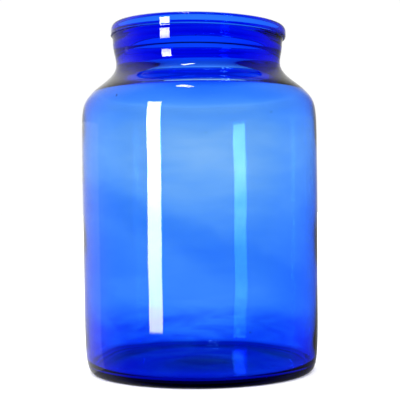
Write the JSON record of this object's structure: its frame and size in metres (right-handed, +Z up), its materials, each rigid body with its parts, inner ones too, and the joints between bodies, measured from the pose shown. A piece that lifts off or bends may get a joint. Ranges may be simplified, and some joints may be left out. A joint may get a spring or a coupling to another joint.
{
  "type": "disinfectant jar",
  "caption": "Open wide-mouthed jar of cobalt-blue blown glass with a round shoulder, waisted neck and turned-over rim, for standing combs and tools in disinfecting liquid.",
  "frame": {"origin": "centre of the circle that the jar stands on, at bench level", "axes": "+Z up along the jar's turning axis, towards the mouth; the jar is round, so X and Y are any two level directions"},
  "size_m": [0.1638, 0.1638, 0.24],
  "materials": {
    "vessel_glass": "glossy transparent cobalt-blue blown glass, faintly streaked, deepest in colour at the base",
    "rim_glass": "glossy fire-polished cobalt-blue glass, thicker and so deeper in colour than the wall"
  },
  "bodies": {
    "root": {"jar_body": "vessel_glass", "rim_band": "rim_glass"}
  },
  "joints": []
}
